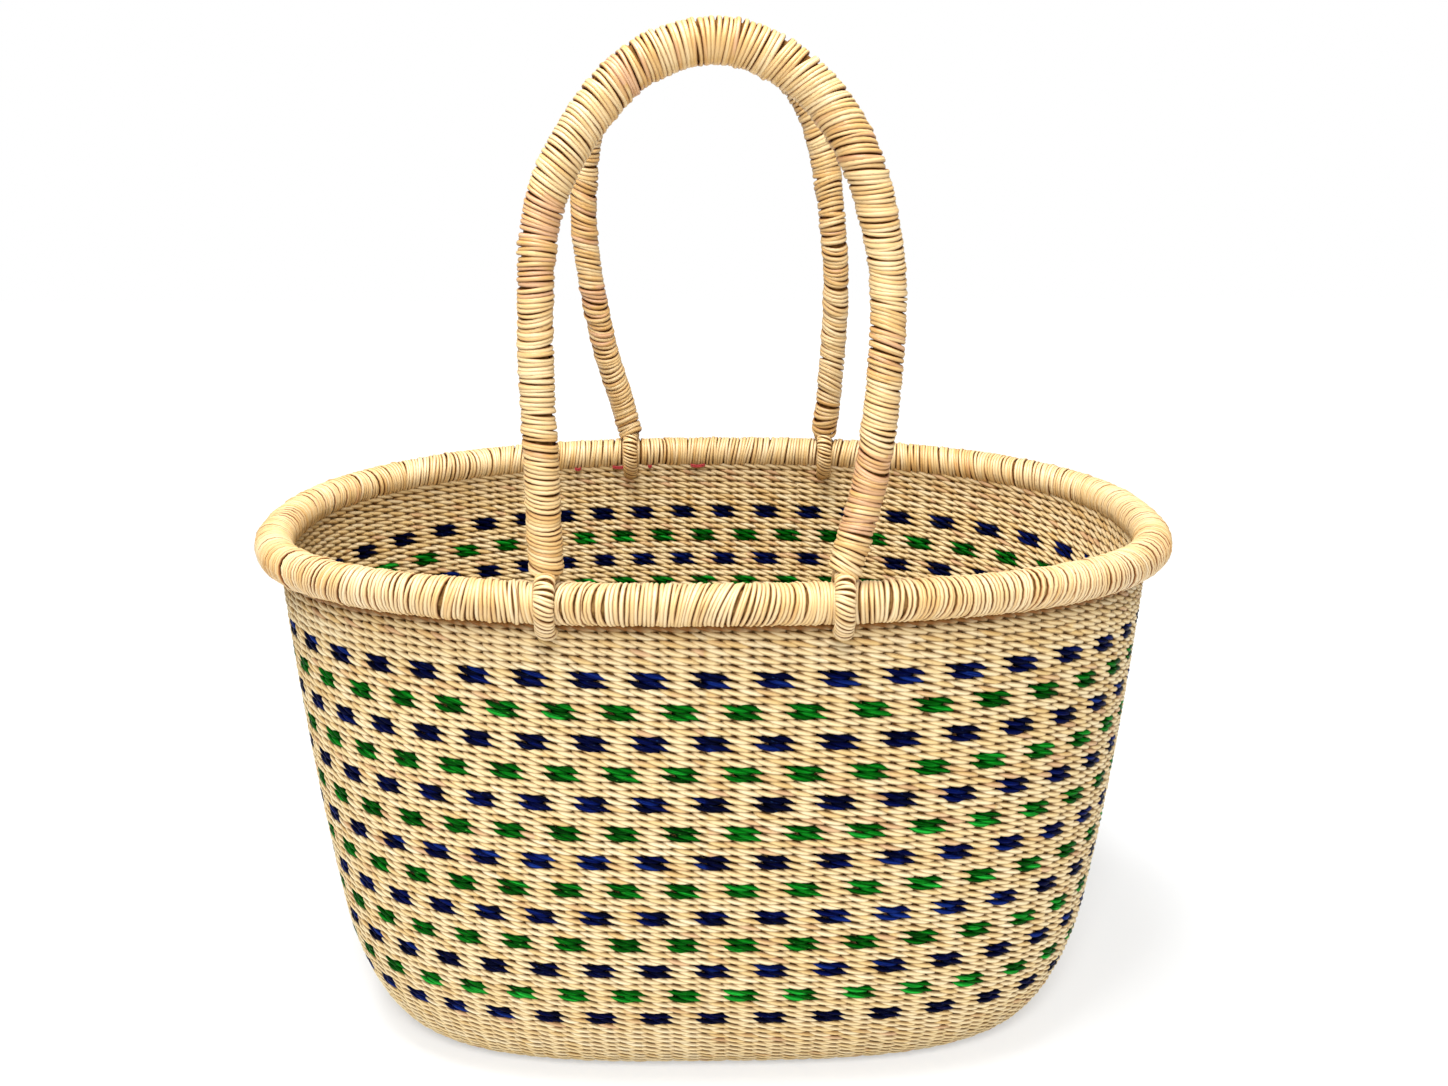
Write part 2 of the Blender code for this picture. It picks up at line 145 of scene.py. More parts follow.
room_colour = (1.0, 0.965, 0.90, 1.0)
room_strength = 0.45
world = bpy.data.worlds.new("studio")
world.use_nodes = True
scene.world = world
world.node_tree.nodes.clear()
air = Wire(world.node_tree)
seen = air.node("ShaderNodeLightPath")
room = air.node("ShaderNodeBackground", {"Color": room_colour, "Strength": room_strength})
backdrop = air.node("ShaderNodeBackground", {"Color": (1.0, 1.0, 1.0, 1.0), "Strength": 1.0})
sky = air.node("ShaderNodeMixShader", {0: seen, 1: room, 2: backdrop})
air.node("ShaderNodeOutputWorld", {"Surface": sky})

table_size = 6
paper_colour = (0.84, 0.86, 0.885, 1.0)
paper_white = 1.15
paper_glow = 0.45
fade_start = 0.36
fade_end = 0.75
bpy.ops.mesh.primitive_plane_add(size=table_size)
table = bpy.context.active_object
table.name = "table"
paper = bpy.data.materials.new("white_paper")
paper.use_nodes = True
paper.node_tree.nodes.clear()
sheet = Wire(paper.node_tree)
seen = sheet.node("ShaderNodeLightPath")
lit = sheet.node("ShaderNodeBsdfDiffuse", {"Color": paper_colour})
white = sheet.node("ShaderNodeEmission", {"Color": (1.0, 1.0, 1.0, 1.0), "Strength": paper_white})
spot = sheet.node("ShaderNodeNewGeometry")
away = sheet.node("ShaderNodeVectorMath", {0: spot}, 1, operation="LENGTH")
glow = paper_glow + (1 - paper_glow) * away.spread(fade_start, fade_end)
top = sheet.node("ShaderNodeMixShader", {0: seen * glow, 1: lit, 2: white})
sheet.node("ShaderNodeOutputMaterial", {"Surface": top})
table.data.materials.append(paper)


# The weft of the wall: split grass stems, pale or dyed navy or green, twined in rows round the
# stakes. A row has two pairs of stems that take turns over three stakes and behind three, so each
# stitch slants, and the row shows on the inside too. Under the rim roll the rows have painted shadow.
rim_half_length = 0.2263
rim_half_width = 0.1425
rim_height = 0.263
rim_saddle = 0.0023
rim_plan_power = 2.33
wall_setback = 0.001
wall_thickness = 0.007
corner_height = 0.074
corner_reach = 0.0253
corner_points = 300
base_plan_power = 3.2
end_taper_share = 0.129
side_taper_share = 0.07
end_bulge = 0.003
side_bulge = 0.005
ring_points = 6001
small_step = 0.0002

corner_turns = np.linspace(0.0, math.pi / 2, corner_points)
corner_steps = np.hypot(np.diff(corner_reach * (1 - np.cos(corner_turns))),
                        np.diff(corner_height * np.sin(corner_turns)))
corner_run = np.concatenate([[0.0], np.cumsum(corner_steps)])
wall_slope = math.hypot(1.0, side_taper_share)
straight_drop = (rim_height - corner_height) * wall_slope
wall_drop = straight_drop + corner_run[-1]


def unit(vectors):
    return vectors / np.linalg.norm(vectors, axis=-1, keepdims=True)


def oval(angles, half_length, half_width, power):
    """Points of a superellipse at some angles."""
    across, along = np.cos(angles), np.sin(angles)
    x = half_length * np.sign(across) * np.abs(across) ** (2 / power)
    y = half_width * np.sign(along) * np.abs(along) ** (2 / power)
    return x, y


def wall_face(angles, drop):
    """Points of the outer face at a length down the wall, and on inwards under the bottom."""
    if drop <= straight_drop:
        height, reach = rim_height - drop / wall_slope, 0.0
    elif drop <= wall_drop:
        turn = np.interp(drop - straight_drop, corner_run, corner_turns)
        height, reach = corner_height * (1 - np.sin(turn)), corner_reach * (1 - np.cos(turn))
    else:
        height, reach = 0.0, corner_reach + drop - wall_drop
    fall = rim_height - height
    swell = math.sin(math.pi * fall / rim_height)
    half_length = rim_half_length - wall_setback - end_taper_share * fall - reach + end_bulge * swell
    half_width = rim_half_width - wall_setback - side_taper_share * fall - reach + side_bulge * swell
    power = rim_plan_power + (base_plan_power - rim_plan_power) * fall / rim_height
    x, y = oval(angles, half_length, half_width, power)
    lift = -rim_saddle * np.cos(2 * angles) * height / rim_height
    return np.stack([x, y, height + lift], axis=-1)


def ring_length(face):
    """A table of lengths round a closed line, from the middle of the front."""
    fine = np.linspace(-math.pi / 2, 1.5 * math.pi, ring_points)
    line = face(fine)
    run = np.concatenate([[0.0], np.cumsum(np.linalg.norm(np.diff(line, axis=0), axis=1))])
    return fine, run


def wall_frames(drop, places):
    """Points at shares of the way round, with the directions out, down and along the wall."""
    fine, run = ring_length(lambda a: wall_face(a, drop))
    angles = np.interp(places % 1.0 * run[-1], run, fine)
    point = wall_face(angles, drop)
    along = unit(wall_face(angles + small_step, drop) - wall_face(angles - small_step, drop))
    down = wall_face(angles, drop + small_step) - point
    out = unit(np.cross(down, along))
    return point, out, np.cross(along, out)


row_pitch = 0.00384
first_band_drop = 0.0365
top_row_drop = 0.0070
stake_count = 264
stake_drifts = ((3, 0.00503, -0.92), (5, 0.00086, 2.76))
most_crowding = 0.7
top_length = ring_length(lambda a: wall_face(a, first_band_drop))[1][-1]


def stake_places(stakes, drop, count=stake_count):
    """Shares of the way round at stake numbers: by hand they drift, and crowd at the ends low down."""
    length = ring_length(lambda a: wall_face(a, drop))[1][-1]
    crowd = min(max(2 * (1 - length / top_length), 0.0), most_crowding)
    turn = 2 * math.pi * stakes / count
    drift = sum(size * np.sin(waves * turn + start) for waves, size, start in stake_drifts)
    return stakes / count + crowd / (8 * math.pi * (1 - crowd / 2)) * np.sin(2 * turn) + drift


def wavering(rng, rows, knots, steps):
    """Smooth random values between -1 and 1 along each of some closed strands."""
    values = rng.uniform(-1, 1, (rows, knots))
    values = np.concatenate([values, values[:, :1]], axis=1)
    place = np.linspace(0, knots, steps, endpoint=False)
    low = place.astype(int)
    ease = place - low
    ease = ease * ease * (3 - 2 * ease)
    return values[:, low] * (1 - ease) + values[:, low + 1] * ease


tone_shape = (3, 5)
usual_tone = tone_shape[0] / sum(tone_shape)
odd_tones = (0.8, 0.96)


def stem_tones(rng, rows, steps, stem_lengths, spread=1.0, odd_share=0.05):
    """The tone of each stem that a strand is made of, changing where a new stem is laid in."""
    tones = np.zeros((rows, steps))
    for row in range(rows):
        start = 0
        while start < steps:
            length = int(rng.integers(*stem_lengths))
            odd = rng.random() < odd_share
            plain = usual_tone + spread * (rng.beta(*tone_shape) - usual_tone)
            tones[row, start:start + length] = rng.uniform(*odd_tones) if odd else plain
            start += length
    return tones


strand_shift = 7.31
lane_margin = 0.04
edge_shade = 0.8
hidden_side_shade = 1.15
hidden_side_shade_power = 0.75


def strand_mesh(name, centre, out, across, half_out, half_across, tones, painted_shade, closed,
                straws, dye=None, uv_steps=None, sides=6, two_faced=False):
    """One mesh of strands with an oval section. Arrays run over strands, steps and x, y, z.

    A strand that shows two faces has painted shade at its edges, and any other has it on its hidden
    side.
    """
    strands, steps = centre.shape[:2]
    around = np.arange(sides) * 2 * math.pi / sides
    reach_out = (half_out[..., None] * np.cos(around))[..., None] * out[:, :, None]
    reach_across = (half_across[..., None] * np.sin(around))[..., None] * across[:, :, None]
    points = centre[:, :, None] + reach_out + reach_across
    gaps = np.linalg.norm(np.diff(centre, axis=1), axis=2)
    metres = np.concatenate([np.zeros((strands, 1)), np.cumsum(gaps, axis=1)], axis=1)
    spans = steps if closed else steps - 1
    s, i, j = np.meshgrid(np.arange(strands), np.arange(spans), np.arange(sides), indexing="ij")
    first, after = (s * steps + i) * sides, (s * steps + (i + 1) % steps) * sides
    beside = (j + 1) % sides
    quads = np.stack([first + j, first + beside, after + beside, after + j], axis=-1).reshape(-1, 4)
    # Each strand is unrolled into one lane of the map, or a long strand into several.
    uv_steps = uv_steps or spans
    lanes = math.ceil(spans / uv_steps)
    lane = s * lanes + i // uv_steps
    lane_share = 1 - 2 * lane_margin
    low_u, high_u = (i % uv_steps) / uv_steps, (i % uv_steps + 1) / uv_steps
    low_v = (lane + lane_margin + lane_share * j / sides) / (strands * lanes)
    high_v = low_v + lane_share / sides / (strands * lanes)
    uv = np.stack([np.stack([low_u, low_v], -1), np.stack([low_u, high_v], -1),
                   np.stack([high_u, high_v], -1), np.stack([high_u, low_v], -1)], axis=-2)
    uv = uv.reshape(-1, 2)
    dyes = np.zeros(len(quads), int) if dye is None else np.repeat(dye, spans * sides)
    if not closed:
        # An open strand has a lid at each end, of quads that fan out from its first corner.
        start = np.arange(strands) * steps * sides
        end = start + (steps - 1) * sides
        lids = []
        for k in range(1, sides - 2, 2):
            lids.append(start[:, None] + [k + 2, k + 1, k, 0])
            lids.append(end[:, None] + [0, k, k + 1, k + 2])
        quads = np.concatenate([quads, *lids])
        uv = np.concatenate([uv, np.tile(uv[:4], (len(lids) * strands, 1))])
        dyes = np.concatenate([dyes, np.zeros(len(lids) * strands, int)])
    mesh = bpy.data.meshes.new(name)
    mesh.from_pydata(points.reshape(-1, 3).astype(np.float32), [], quads.astype(np.int32))
    mesh.shade_smooth()
    for material in straws:
        mesh.materials.append(material)
    mesh.polygons.foreach_set("material_index", dyes.astype(np.int32))
    mesh.uv_layers.new(name="OFBake").data.foreach_set("uv", uv.astype(np.float32).ravel())
    own = np.arange(strands)[:, None, None] * strand_shift
    fibre = np.stack(np.broadcast_arrays(metres[..., None] + own, np.cos(around) + own,
                                         np.sin(around)), axis=-1)
    # Painted shade: a strand is darker towards its edges, or on its hidden side, where its neighbours
    # shade it.
    if two_faced:
        side_shade = edge_shade * np.sin(around) ** 2
    else:
        side_shade = hidden_side_shade * (1 - np.cos(around)) ** hidden_side_shade_power
    shade_share = np.clip(np.maximum(painted_shade[..., None], side_shade), 0, 1)
    tone = np.repeat(tones[..., None], sides, axis=-1)
    for label, kind, slot, values in (("fibre", "FLOAT_VECTOR", "vector", fibre),
                                      ("tone", "FLOAT", "value", tone),
                                      ("painted_shade", "FLOAT", "value", shade_share)):
        layer = mesh.attributes.new(label, kind, "POINT")
        layer.data.foreach_set(slot, values.astype(np.float32).ravel())
    piece = bpy.data.objects.new(name, mesh)
    scene.collection.objects.link(piece)
    return piece


stakes_over = 3
steps_a_stake = 2
stem_lags = (0, 1.25, 3, 4.25)
stem_lanes = (-0.00035, 0.00035, -0.00035, 0.00035)
stem_steps = (14, 60)
stitch_rise = 0.00155
stitch_half_width = 0.00138
stitch_half_thickness = 0.00095
stitch_clearance = 0.0002
stitch_front_power = 0.35
stitch_straight_share = 0.8
crossing_half_width = 0.00112
crossing_thickness_share = 0.85
crossing_shade = 0.9
pattern_start = -1.845
lag_waver = 0.18
depth_waver = 0.00014
rise_waver = 0.00018
girth_waver = 0.12
roll_shadow_start = 0.0110
roll_shadow_reach = 0.0045
roll_shadow_front_share = 0.35
shade_reach = 0.022
wide_roll_shade = 0.32


def weft_row(drop, seed, count=stake_count):
    """Centre lines, directions, sizes, tones and dirt of the four strands of a row."""
    rng = np.random.default_rng(seed)
    strands = len(stem_lags)
    steps = count * steps_a_stake
    knots = count // stakes_over
    stakes = np.arange(steps) / steps_a_stake
    point, out, down = wall_frames(drop, stake_places(stakes, drop, count))
    lags = np.array(stem_lags)[:, None] + lag_waver * wavering(rng, strands, knots, steps)
    phase = (stakes[None] - lags - pattern_start) / stakes_over % 2
    wave = np.sin(math.pi * phase)
    front = np.sign(wave) * np.abs(wave) ** stitch_front_power
    fall = np.where(phase < 1, 1 - 2 * phase, 2 * phase - 3)
    fall = stitch_straight_share * fall + (1 - stitch_straight_share) * np.cos(math.pi * phase)
    middle = wall_thickness / 2
    swing = middle - stitch_half_thickness - stitch_clearance
    depth = middle - swing * front + depth_waver * wavering(rng, strands, knots, steps)
    rise = stitch_rise * fall + front * np.array(stem_lanes)[:, None]
    rise = rise + rise_waver * wavering(rng, strands, knots, steps)
    girth = 1 + girth_waver * wavering(rng, strands, knots, steps)
    half_across = (crossing_half_width + (stitch_half_width - crossing_half_width)
                   * np.abs(wave) ** 0.5) * girth
    half_out = stitch_half_thickness * (
        crossing_thickness_share + (1 - crossing_thickness_share) * np.abs(wave))
    centre = point[None] - out[None] * depth[..., None] - down[None] * rise[..., None]
    tones = stem_tones(rng, strands, steps, stem_steps)
    # Painted shadow under the rim roll: the rows just below it are darkened, more on their outer face,
    # and a weaker painted shade reaches further down.
    below = drop - rise - roll_shadow_start
    front_roll_shadow = 1 - roll_shadow_front_share + roll_shadow_front_share * front
    roll_shadow = np.clip(1 - below / roll_shadow_reach, 0, 1) * front_roll_shadow
    shade = wide_roll_shade * np.clip(1 - below / shade_reach, 0, 1)
    # Painted shade also darkens the strands where they cross deep in the wall.
    painted_shade = np.maximum(np.maximum(roll_shadow, shade), crossing_shade * (1 - np.abs(wave)) ** 2)
    shape = (strands, steps, 3)
    return (centre, np.broadcast_to(out, shape), np.broadcast_to(down, shape),
            half_out, half_across, tones, painted_shade)


# Noise cells for each metre along a stem, and for each radius across it.
fibre_cells = (90.0, 5.0, 5.0)
patch_cells = (55.0, 0.6, 0.6)
speck_cells = (420.0, 2.2, 2.2)
patch_contrast = 0.3
patch_roughness = 0.16
streak_range = (0.3, 0.72)
speck_range = (0.70, 0.76)
speck_strength = 0.8
groove_range = (0.15, 0.85)
groove_roughness = 0.22
fibre_bump = 0.55
fibre_relief = 0.00025


def straw(name, tones, streak, speck, groove_shade_colour, gloss, shine, grain_and_sheen=0.3):
    """Split grass stems with their tones, lengthwise fibres, satin skin, specks and painted groove
    shade.
    """
    material = bpy.data.materials.new(name)
    material.use_nodes = True
    tree = material.node_tree
    shader = tree.nodes["Principled BSDF"]
    base = Wire(tree)
    fibre = base.node("ShaderNodeAttribute", output=1, attribute_name="fibre")
    tone = base.node("ShaderNodeAttribute", output=2, attribute_name="tone")
    painted_shade = base.node("ShaderNodeAttribute", output=2, attribute_name="painted_shade")
    fine = fibre.stretched(fibre_cells).noise(3.0)
    patch = fibre.stretched(patch_cells).noise(2.0)
    fleck = fibre.stretched(speck_cells).noise(1.0)
    shade = tone + (patch - 0.5) * patch_contrast + (fine - 0.5) * grain_and_sheen
    colour = base.node("ShaderNodeValToRGB", {0: shade}, stops=tones)
    colour = colour.mixed((*streak, 1.0), 1 - fine.spread(*streak_range), "MULTIPLY")
    colour = colour.mixed((*speck, 1.0), speck_strength * fleck.spread(*speck_range))
    # Painted shade: the groove colour darkens a stem as far as it is buried between others.
    shade_share = painted_shade.spread(*groove_range)
    colour = colour.mixed((*groove_shade_colour, 1.0), shade_share, "MULTIPLY")
    rough = gloss + patch_roughness * patch + groove_roughness * shade_share
    relief = {"Strength": fibre_bump, "Distance": fibre_relief, "Height": fine}
    bump = base.node("ShaderNodeBump", relief)
    tree.links.new(colour.socket, shader.inputs["Base Color"])
    tree.links.new(rough.socket, shader.inputs["Roughness"])
    tree.links.new(bump.socket, shader.inputs["Normal"])
    shader.inputs["Specular IOR Level"].default_value = shine
    return material


pale_straw = straw(
    "pale_straw",
    tones=((0.0, (0.95, 0.85, 0.60)), (0.3, (0.92, 0.77, 0.48)), (0.55, (0.88, 0.70, 0.38)),
           (0.78, (0.79, 0.57, 0.25)), (0.92, (0.77, 0.53, 0.33)), (1.0, (0.60, 0.38, 0.18))),
    streak=(0.84, 0.77, 0.62), speck=(0.50, 0.30, 0.11), groove_shade_colour=(0.27, 0.13, 0.03),
    gloss=0.36, shine=0.3)
# The dyed stems' brightest stops, reached along fibre streaks, are partly the dye's own streaks and
# partly painted highlight, as these straws have almost no gloss.
navy_straw = straw(
    "navy_straw",
    tones=((0.0, (0.0002, 0.001, 0.010)), (0.45, (0.0004, 0.002, 0.035)),
           (0.75, (0.0015, 0.008, 0.11)), (1.0, (0.008, 0.035, 0.24))),
    streak=(0.40, 0.40, 0.50), speck=(0.02, 0.06, 0.20), groove_shade_colour=(0.05, 0.05, 0.10),
    gloss=0.22, shine=0.02, grain_and_sheen=1.2)
green_straw = straw(
    "green_straw",
    tones=((0.0, (0.0002, 0.030, 0.001)), (0.4, (0.0006, 0.115, 0.003)),
           (0.7, (0.004, 0.27, 0.014)), (1.0, (0.020, 0.52, 0.050))),
    streak=(0.35, 0.45, 0.35), speck=(0.06, 0.34, 0.04), groove_shade_colour=(0.05, 0.10, 0.05),
    gloss=0.22, shine=0.02, grain_and_sheen=1.4)
# The straws of a row of each colour, and which of its four strands are made of the second.
row_straws = {"natural": ([pale_straw], ()), "navy": ([pale_straw, navy_straw], (0, 1)),
              "green": ([pale_straw, green_straw], (2, 3))}


def weft_piece(name, drops, node, seed, colour="natural", count=stake_count):
    """A course of rows in one piece, which stands for a CAD node and part of the wall's inside."""
    rows = [weft_row(drop, seed + number, count) for number, drop in enumerate(drops)]
    arrays = [np.concatenate(parts) for parts in zip(*rows)]
    straws, dyed = row_straws[colour]
    dye = np.tile([1 if strand in dyed else 0 for strand in range(len(stem_lags))], len(drops))
    piece = strand_mesh(name, *arrays, closed=True, straws=straws, dye=dye, two_faced=True)
    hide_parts(node, "inner_weave")
    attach(piece, "bowl")


def rows_between(first, last):
    """Row centres on the common row spacing, inside two drops."""
    start = first_band_drop + row_pitch / 2
    rounding = 1e-6
    low = math.ceil((first - start) / row_pitch - rounding)
    high = math.floor((last - start) / row_pitch + rounding)
    return [start + row_pitch * k for k in range(low, high + 1)]


band_count = 13
band_step = 4 * row_pitch
course_seed = 90
course_seed_step = 10
courses = {"natural": 0, "navy": 0, "green": 0}


def next_course(colour, first, last):
    """The next course of a colour, inside two drops."""
    courses[colour] += 1
    number = f"{courses[colour]:02d}"
    seed = course_seed + course_seed_step * sum(courses.values())
    weft_piece(f"{colour}_weft_{number}", rows_between(first, last), f"{colour}_course_{number}",
               seed, colour)


next_course("natural", top_row_drop, first_band_drop - row_pitch)
for band in range(band_count):
    middle = first_band_drop + band * band_step
    next_course("navy" if band % 2 == 0 else "green", middle - row_pitch, middle + row_pitch)
    if band < band_count - 1:
        next_course("natural", middle + row_pitch, middle + 3 * row_pitch)

upper_foot_rows = 6
foot_rows = rows_between(middle + row_pitch, wall_drop)
weft_piece("foot_weft_upper", foot_rows[:upper_foot_rows], "foot_course", seed=500)
weft_piece("foot_weft_lower", foot_rows[upper_foot_rows:], "foot_course", seed=520)


# The bottom: the same twining carried on in rounds under the basket, closer and closer to the
# middle line, with fewer stakes in each round because the stakes are gathered there.
bottom_stake_pitch = 0.0042
bottom_end = 0.0972
bottom_seed = 600
bottom_rounds = []
drop = foot_rows[-1] + row_pitch
while drop < wall_drop + bottom_end:
    length = ring_length(lambda a: wall_face(a, drop))[1][-1]
    period = 2 * stakes_over
    bottom_rounds.append((drop, period * round(length / bottom_stake_pitch / period)))
    drop += row_pitch
for number, (drop, count) in enumerate(bottom_rounds):
    name = f"bottom_round_{number + 1:02d}"
    weft_piece(name, [drop], "base_weave", bottom_seed + number, count=count)


# The stakes: splints of straw that stand up side by side inside the weft, from the bottom to the
# rim roll. They show as ribs and as stems deep in the gaps between the stitches, dark with painted
# shade.
stake_half_width = 0.0028
stake_half_thickness = 0.0009
stake_top_drop = 0.0066
stake_under_reach = 0.03
stake_wall_points = 14
stake_corner_points = 16
stake_tones = (0.4, 1.0)
# Painted shade darkens the stakes, which are seen only deep in the gaps.
stake_shade = 0.6
stake_numbers = np.arange(stake_count) + 0.5 + pattern_start
stake_drops = np.concatenate([
    np.linspace(stake_top_drop, straight_drop, stake_wall_points),
    np.linspace(straight_drop, wall_drop + stake_under_reach, stake_corner_points)[1:]])
levels = [wall_frames(drop, stake_places(stake_numbers, drop)) for drop in stake_drops]
point, out, down = (np.stack(parts, axis=1) for parts in zip(*levels))
rng = np.random.default_rng(31)
shape = point.shape[:2]
stakes = strand_mesh("stakes_bundle", point - out * wall_thickness / 2, out, -np.cross(out, down),
                     np.full(shape, stake_half_thickness), np.full(shape, stake_half_width),
                     np.repeat(rng.uniform(*stake_tones, (stake_count, 1)), shape[1], axis=1),
                     np.full(shape, stake_shade), closed=False, straws=[pale_straw], two_faced=True)
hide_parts("stakes")
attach(stakes, "bowl")


# The bindings: a split stem wound on and on round a bundle of straw. No two turns are alike, so
# each has its own place, lean, girth and height, and a new stem takes over every few turns.
binding_straw = straw(
    "binding_straw",
    tones=((0.0, (0.95, 0.79, 0.52)), (0.35, (0.89, 0.69, 0.39)), (0.6, (0.83, 0.59, 0.28)),
           (0.8, (0.74, 0.46, 0.17)), (0.92, (0.77, 0.48, 0.30)), (1.0, (0.62, 0.36, 0.16))),
    streak=(0.78, 0.68, 0.52), speck=(0.52, 0.30, 0.12), groove_shade_colour=(0.27, 0.12, 0.025),
    gloss=0.28, shine=0.5)
# The core is coloured dark brown as painted shade, since it is seen only deep between the turns of its
# binding.
core_straw = straw(
    "core_straw",
    tones=((0.0, (0.48, 0.30, 0.11)), (1.0, (0.30, 0.16, 0.05))),
    streak=(0.60, 0.52, 0.40), speck=(0.10, 0.05, 0.02), groove_shade_colour=(0.5, 0.4, 0.3),
    gloss=0.6, shine=0.1)
strip_sides = 8
place_knots = 3
girth_knots = 6
girth_spread = 0.14
stray_share = 0.12
stray_lean = 0.6
stray_angle = 0.7
binding_tone_spread = 0.6
binding_odd_share = 0.012
turn_tone_waver = 0.28
blush_tone = 0.89
turns_a_lane = 20
core_tone = 0.5
core_shade = 0.3


def winding(name, path, side, up, half_side, half_up, turns, strip, seed, closed=False,
            turn_steps=16, lean=1.2, loose=0.22, rough=0.00022, stems=(5, 16), slant=(0.0, 0.0),
            blushes=(), groups=14, aged=0.0):
    """A strip wound round a path with an oval section. The strip is (half width, half thickness).

    Lean, loose and slant are in turns, and about as many turns as groups says lean alike. Now and
    then a turn strays over its neighbour. A closed winding ends as it began, with no seam.
    """
    rng = np.random.default_rng(seed)
    steps = turns * turn_steps
    turn = np.arange(steps) / turn_steps
    angle = 2 * math.pi * turn

    def between(values, in_a_turn):
        if closed:
            values[-1] = values[0]
        return np.interp(turn * in_a_turn, np.arange(len(values)), values)

    offset = between(rng.normal(0, loose, place_knots * turns + 1), place_knots)
    height = between(rng.normal(0, rough, place_knots * turns + 1), place_knots)
    girth = between(1 + rng.normal(0, girth_spread, girth_knots * turns + 1), girth_knots)
    sway = wavering(rng, 2, max(turns // groups, 3), steps)
    strays = rng.random(turns + 1) < stray_share
    stray = between(np.where(strays, rng.choice([-1.0, 1.0], turns + 1), 0.0), 1)
    height = height + 2 * rough * np.abs(stray)
    swing = lean * (sway[0] * np.sin(angle) + sway[1] * np.cos(angle))
    swing = swing + stray_lean * stray * np.sin(angle + stray_angle)
    swing = swing - slant[0] * np.cos(angle) - slant[1] * np.sin(angle)
    place = (turn + offset + swing) / turns
    place = place % 1.0 if closed else np.clip(place, 0, 1)
    grid = np.linspace(0, 1, len(path))

    def along_path(values):
        return np.stack([np.interp(place, grid, values[:, k]) for k in range(3)], axis=-1)

    middle, a, b = along_path(path), unit(along_path(side)), unit(along_path(up))
    wide = np.interp(place, grid, half_side) - strip[1] + height
    tall = np.interp(place, grid, half_up) - strip[1] + height
    centre = middle + a * (wide * np.cos(angle))[:, None] + b * (tall * np.sin(angle))[:, None]
    out = unit(a * (np.cos(angle) / wide)[:, None] + b * (np.sin(angle) / tall)[:, None])
    tangent = unit(np.gradient(centre, axis=0))
    across = unit(np.cross(tangent, out))
    stem_lengths = (stems[0] * turn_steps, stems[1] * turn_steps)
    tones = stem_tones(rng, 1, steps, stem_lengths, binding_tone_spread, binding_odd_share)
    tones = np.clip(tones + aged + turn_tone_waver * wavering(rng, 1, 2 * turns, steps), 0, 1)
    for start, end in blushes:
        tones = np.where((place > start) & (place < end), blush_tone, tones)
    return strand_mesh(name, centre[None], out[None], across[None], np.full((1, steps), strip[1]),
                       (strip[0] * girth)[None], tones, np.zeros((1, steps)), closed,
                       [binding_straw], uv_steps=turns_a_lane * turn_steps, sides=strip_sides)


def bundle(name, path, side, up, half_side, half_up, closed):
    """The smooth core that a binding hides, seen only deep between its turns, darkened with painted
    shade.
    """
    shape = (1, len(path))
    return strand_mesh(name, path[None], side[None], up[None], half_side[None], half_up[None],
                       np.full(shape, core_tone), np.full(shape, core_shade), closed, [core_straw])


# The rim roll: a bundle of straw laid on the stakes' ends all round the mouth and bound with
# about seven hundred turns.
rim_roll_radius = 0.0095
rim_core_radius = 0.0082
rim_turn_pitch = 0.00185
rim_strip = (0.00109, 0.00095)
rim_points = 1201
rim_small_turn = 0.0005


def rim_face(angles):
    x, y = oval(angles, rim_half_length, rim_half_width, rim_plan_power)
    return np.stack([x, y, rim_height - rim_saddle * np.cos(2 * angles)], axis=-1)


rim_fine, rim_run = ring_length(rim_face)
rim_angles = np.interp(np.linspace(0, rim_run[-1], rim_points), rim_run, rim_fine)
rim_path = rim_face(rim_angles)
rim_along = unit(rim_face(rim_angles + rim_small_turn) - rim_face(rim_angles - rim_small_turn))
rim_side = unit(np.cross(rim_along, (0.0, 0.0, 1.0)))
rim_up = np.cross(rim_side, rim_along)
roll_radii = np.full(rim_points, rim_roll_radius)
rim_turns = round(rim_run[-1] / rim_turn_pitch)
rim_binding = winding("rim_wrap", rim_path, rim_side, rim_up, roll_radii, roll_radii, rim_turns,
                      rim_strip, seed=7, closed=True, lean=1.8, groups=16)
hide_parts("rim_binding")
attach(rim_binding, "bowl")
every_fourth = slice(None, -1, 4)
core_radii = np.full(rim_points, rim_core_radius)[every_fourth]
rim_core = bundle("rim_bundle", rim_path[every_fourth], rim_side[every_fourth],
                  rim_up[every_fourth], core_radii, core_radii, closed=True)
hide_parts("rim_core")
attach(rim_core, "bowl")


# Ends of a straw that was dyed red, tucked in under the back of the rim roll. They peep out in a
# few short tufts over the topmost row on the inside.
red_straw = straw(
    "red_straw",
    tones=((0.0, (0.62, 0.10, 0.13)), (0.5, (0.52, 0.05, 0.05)), (1.0, (0.75, 0.28, 0.27))),
    streak=(0.70, 0.60, 0.60), speck=(0.30, 0.02, 0.02), groove_shade_colour=(0.30, 0.10, 0.08),
    gloss=0.35, shine=0.2, grain_and_sheen=0.8)
tuft_middles_and_lengths = ((-0.083, 0.004), (-0.0575, 0.008), (-0.0385, 0.002), (-0.009, 0.006))
tuft_drops = (0.0058, 0.0067)
tuft_depth = 0.0079
tuft_points = 7
tuft_radius = 0.0006
tuft_sag = 0.0006
tuft_bend = 2.0
tuft_tone = 0.4
centres = []
for tuft_middle, length in tuft_middles_and_lengths:
    for drop in tuft_drops:
        angle = math.acos(abs(tuft_middle / rim_half_length) ** (rim_plan_power / 2))
        reach = np.linspace(-0.5, 0.5, tuft_points) * length / rim_half_length
        tuft_point = wall_face(math.pi - angle - reach, drop)
        sag = tuft_sag * np.cos(np.linspace(-tuft_bend, tuft_bend, tuft_points))
        centres.append(tuft_point - np.array((0, tuft_depth, 0)) - sag[:, None] * (0, 0, 1))
